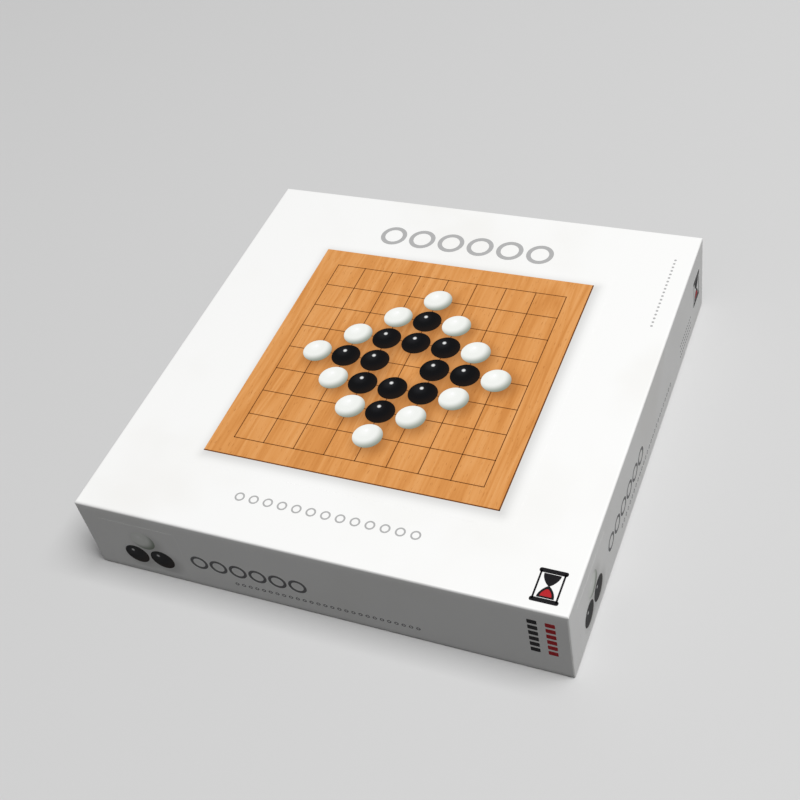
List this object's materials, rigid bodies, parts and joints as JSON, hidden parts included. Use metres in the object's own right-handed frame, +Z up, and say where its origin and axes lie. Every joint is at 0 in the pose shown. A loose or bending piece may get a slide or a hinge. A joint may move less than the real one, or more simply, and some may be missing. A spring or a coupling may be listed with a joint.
{
  "type": "boxed marble strategy board game",
  "caption": "Square game box with a lift-off lid over a base tray that holds a grooved wooden board, glass marbles, packing pads and a rules booklet.",
  "frame": {"origin": "on the table, under the middle of the closed box's underside", "axes": "+Z up, out of the lid's top panel; the box's front faces -Y and its right side +X"},
  "size_m": [0.255, 0.255, 0.0489],
  "materials": {
    "wrap_paper": "satin",
    "greyboard": "matte",
    "stay_tape": "matte",
    "lining_paper": "matte",
    "corrugated_board": "matte",
    "beech": "satin",
    "black_glass": "gloss",
    "white_glass": "gloss",
    "cover_paper": "satin",
    "page_paper": "matte",
    "staple_wire": "satin"
  },
  "bodies": {
    "base": {"base_greyboard": "greyboard", "base_corner_stays": "stay_tape", "base_wrap": "wrap_paper", "base_lining": "lining_paper", "lower_packing_pad": "corrugated_board", "upper_packing_pad": "corrugated_board"},
    "lid": {"lid_greyboard": "greyboard", "lid_corner_stays": "stay_tape", "lid_wrap": "wrap_paper", "lid_lining": "lining_paper"},
    "board": {"game_board": "beech"},
    "booklet": {"rules_cover": "cover_paper", "rules_pages": "page_paper", "rules_staples": "staple_wire"},
    "black_marble_01": {"black_marble_01": "black_glass"},
    "white_marble_01": {"white_marble_01": "white_glass"},
    "black_marble_02": {"black_marble_02": "black_glass"},
    "white_marble_02": {"white_marble_02": "white_glass"},
    "black_marble_03": {"black_marble_03": "black_glass"},
    "white_marble_03": {"white_marble_03": "white_glass"},
    "black_marble_04": {"black_marble_04": "black_glass"},
    "white_marble_04": {"white_marble_04": "white_glass"},
    "black_marble_05": {"black_marble_05": "black_glass"},
    "white_marble_05": {"white_marble_05": "white_glass"},
    "black_marble_06": {"black_marble_06": "black_glass"},
    "white_marble_06": {"white_marble_06": "white_glass"},
    "black_marble_07": {"black_marble_07": "black_glass"},
    "white_marble_07": {"white_marble_07": "white_glass"},
    "black_marble_08": {"black_marble_08": "black_glass"},
    "white_marble_08": {"white_marble_08": "white_glass"},
    "black_marble_09": {"black_marble_09": "black_glass"},
    "white_marble_09": {"white_marble_09": "white_glass"},
    "black_marble_10": {"black_marble_10": "black_glass"},
    "white_marble_10": {"white_marble_10": "white_glass"},
    "black_marble_11": {"black_marble_11": "black_glass"},
    "white_marble_11": {"white_marble_11": "white_glass"},
    "black_marble_12": {"black_marble_12": "black_glass"},
    "white_marble_12": {"white_marble_12": "white_glass"}
  },
  "joints": [
    {"name": "lid_lift", "type": "slide", "parent": "base", "child": "lid", "axis": [0, 0, 1], "range_m": [0, 0.14]},
    {"name": "board_lift", "type": "slide", "parent": "base", "child": "board", "axis": [0, 0, 1], "range_m": [0, 0.056]},
    {"name": "booklet_lift", "type": "slide", "parent": "base", "child": "booklet", "axis": [0, 0, 1], "range_m": [0, 0.0462]},
    {"name": "black_marble_01_roll", "type": "hinge", "parent": "board", "child": "black_marble_01", "pos_m": [-0.06375, -0.08925, 0.03283], "axis": [1, 0, 0], "continuous": true},
    {"name": "white_marble_01_roll", "type": "hinge", "parent": "board", "child": "white_marble_01", "pos_m": [-0.03825, -0.08925, 0.03283], "axis": [1, 0, 0], "continuous": true},
    {"name": "black_marble_02_roll", "type": "hinge", "parent": "board", "child": "black_marble_02", "pos_m": [-0.01275, -0.08925, 0.03283], "axis": [1, 0, 0], "continuous": true},
    {"name": "white_marble_02_roll", "type": "hinge", "parent": "board", "child": "white_marble_02", "pos_m": [0.01275, -0.08925, 0.03283], "axis": [1, 0, 0], "continuous": true},
    {"name": "black_marble_03_roll", "type": "hinge", "parent": "board", "child": "black_marble_03", "pos_m": [0.03825, -0.08925, 0.03283], "axis": [1, 0, 0], "continuous": true},
    {"name": "white_marble_03_roll", "type": "hinge", "parent": "board", "child": "white_marble_03", "pos_m": [0.06375, -0.08925, 0.03283], "axis": [1, 0, 0], "continuous": true},
    {"name": "black_marble_04_roll", "type": "hinge", "parent": "board", "child": "black_marble_04", "pos_m": [0.08925, -0.06375, 0.03283], "axis": [0, 1, 0], "continuous": true},
    {"name": "white_marble_04_roll", "type": "hinge", "parent": "board", "child": "white_marble_04", "pos_m": [0.08925, -0.03825, 0.03283], "axis": [0, 1, 0], "continuous": true},
    {"name": "black_marble_05_roll", "type": "hinge", "parent": "board", "child": "black_marble_05", "pos_m": [0.08925, -0.01275, 0.03283], "axis": [0, 1, 0], "continuous": true},
    {"name": "white_marble_05_roll", "type": "hinge", "parent": "board", "child": "white_marble_05", "pos_m": [0.08925, 0.01275, 0.03283], "axis": [0, 1, 0], "continuous": true},
    {"name": "black_marble_06_roll", "type": "hinge", "parent": "board", "child": "black_marble_06", "pos_m": [0.08925, 0.03825, 0.03283], "axis": [0, 1, 0], "continuous": true},
    {"name": "white_marble_06_roll", "type": "hinge", "parent": "board", "child": "white_marble_06", "pos_m": [0.08925, 0.06375, 0.03283], "axis": [0, 1, 0], "continuous": true},
    {"name": "black_marble_07_roll", "type": "hinge", "parent": "board", "child": "black_marble_07", "pos_m": [0.06375, 0.08925, 0.03283], "axis": [1, 0, 0], "continuous": true},
    {"name": "white_marble_07_roll", "type": "hinge", "parent": "board", "child": "white_marble_07", "pos_m": [0.03825, 0.08925, 0.03283], "axis": [1, 0, 0], "continuous": true},
    {"name": "black_marble_08_roll", "type": "hinge", "parent": "board", "child": "black_marble_08", "pos_m": [0.01275, 0.08925, 0.03283], "axis": [1, 0, 0], "continuous": true},
    {"name": "white_marble_08_roll", "type": "hinge", "parent": "board", "child": "white_marble_08", "pos_m": [-0.01275, 0.08925, 0.03283], "axis": [1, 0, 0], "continuous": true},
    {"name": "black_marble_09_roll", "type": "hinge", "parent": "board", "child": "black_marble_09", "pos_m": [-0.03825, 0.08925, 0.03283], "axis": [1, 0, 0], "continuous": true},
    {"name": "white_marble_09_roll", "type": "hinge", "parent": "board", "child": "white_marble_09", "pos_m": [-0.06375, 0.08925, 0.03283], "axis": [1, 0, 0], "continuous": true},
    {"name": "black_marble_10_roll", "type": "hinge", "parent": "board", "child": "black_marble_10", "pos_m": [-0.08925, 0.06375, 0.03283], "axis": [0, 1, 0], "continuous": true},
    {"name": "white_marble_10_roll", "type": "hinge", "parent": "board", "child": "white_marble_10", "pos_m": [-0.08925, 0.03825, 0.03283], "axis": [0, 1, 0], "continuous": true},
    {"name": "black_marble_11_roll", "type": "hinge", "parent": "board", "child": "black_marble_11", "pos_m": [-0.08925, 0.01275, 0.03283], "axis": [0, 1, 0], "continuous": true},
    {"name": "white_marble_11_roll", "type": "hinge", "parent": "board", "child": "white_marble_11", "pos_m": [-0.08925, -0.01275, 0.03283], "axis": [0, 1, 0], "continuous": true},
    {"name": "black_marble_12_roll", "type": "hinge", "parent": "board", "child": "black_marble_12", "pos_m": [-0.08925, -0.03825, 0.03283], "axis": [0, 1, 0], "continuous": true},
    {"name": "white_marble_12_roll", "type": "hinge", "parent": "board", "child": "white_marble_12", "pos_m": [-0.08925, -0.06375, 0.03283], "axis": [0, 1, 0], "continuous": true}
  ],
  "couplings": [
    {"joint": "board_lift", "follows": "lid_lift", "ratio": 0.4},
    {"joint": "booklet_lift", "follows": "lid_lift", "ratio": 0.33}
  ]
}
